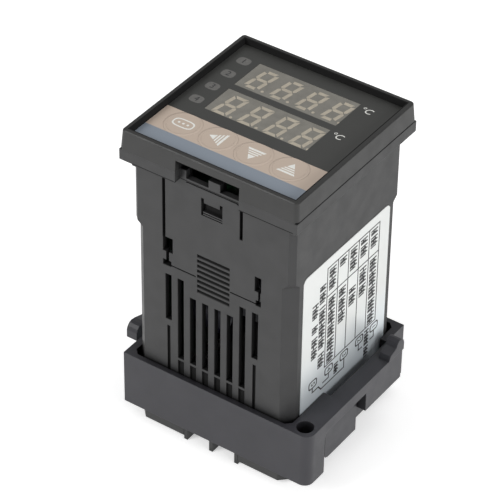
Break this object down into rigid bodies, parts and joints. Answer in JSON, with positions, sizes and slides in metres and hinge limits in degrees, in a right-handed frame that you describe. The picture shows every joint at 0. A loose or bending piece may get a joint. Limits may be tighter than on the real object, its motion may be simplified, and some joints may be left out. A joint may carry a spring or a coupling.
{
  "type": "panel temperature controller",
  "caption": "Square panel-mount PID temperature controller with two four-digit displays, membrane keys, draw-out chassis, rear terminals and a sliding mounting bracket.",
  "frame": {"origin": "centre of the case, on the plane that the rear rests on", "axes": "+Z out of the front panel, -Y the latch side, +X the label side"},
  "size_m": [0.0576, 0.048, 0.085],
  "materials": {
    "case_plastic": "fine matte",
    "plated_steel": "zinc plated",
    "contact_brass": "tinned",
    "bezel_plastic": "fine matte",
    "overlay_film": "printed film",
    "window_tint": "tinted film",
    "module_resin": "resin",
    "key_film": "printed film",
    "lamp_lens": "diffused",
    "board_laminate": "solder mask",
    "relay_case": "moulded",
    "core_steel": "varnished laminations",
    "coil_tape": "tape",
    "capacitor_sleeve": "sleeve",
    "label_film": "silvery film",
    "bracket_plastic": "fine matte"
  },
  "bodies": {
    "case": {"case_shell": "case_plastic", "terminal_base": "case_plastic", "terminal_screws": "plated_steel", "terminal_clamps": "plated_steel", "terminal_contacts": "contact_brass", "side_label": "label_film", "far_label": "label_film"},
    "chassis": {"front_bezel": "bezel_plastic", "front_overlay": "overlay_film", "upper_window_pane": "window_tint", "lower_window_pane": "window_tint", "upper_display": "module_resin", "lower_display": "module_resin", "tact_switches": "module_resin", "indicator_lamps": "lamp_lens", "display_board": "board_laminate", "control_board": "board_laminate", "power_board": "board_laminate", "relay": "relay_case", "controller_chip": "module_resin", "transformer_core": "core_steel", "transformer_coil": "coil_tape", "capacitors": "capacitor_sleeve"},
    "bracket": {"mounting_bracket": "bracket_plastic"},
    "key_set_body": {"key_set": "key_film"},
    "key_shift_body": {"key_shift": "key_film"},
    "key_down_body": {"key_down": "key_film"},
    "key_up_body": {"key_up": "key_film"}
  },
  "joints": [
    {"name": "chassis_draw", "type": "slide", "parent": "case", "child": "chassis", "axis": [0, 0, 1], "range_m": [0, 0.07]},
    {"name": "bracket_slide", "type": "slide", "parent": "case", "child": "bracket", "axis": [0, 0, 1], "range_m": [-0.0045, 0.052]},
    {"name": "key_set_press", "type": "slide", "parent": "chassis", "child": "key_set_body", "axis": [0, 0, -1], "range_m": [0, 0.00025], "stiffness_N_per_m": 1500},
    {"name": "key_shift_press", "type": "slide", "parent": "chassis", "child": "key_shift_body", "axis": [0, 0, -1], "range_m": [0, 0.00025], "stiffness_N_per_m": 1500},
    {"name": "key_down_press", "type": "slide", "parent": "chassis", "child": "key_down_body", "axis": [0, 0, -1], "range_m": [0, 0.00025], "stiffness_N_per_m": 1500},
    {"name": "key_up_press", "type": "slide", "parent": "chassis", "child": "key_up_body", "axis": [0, 0, -1], "range_m": [0, 0.00025], "stiffness_N_per_m": 1500}
  ]
}
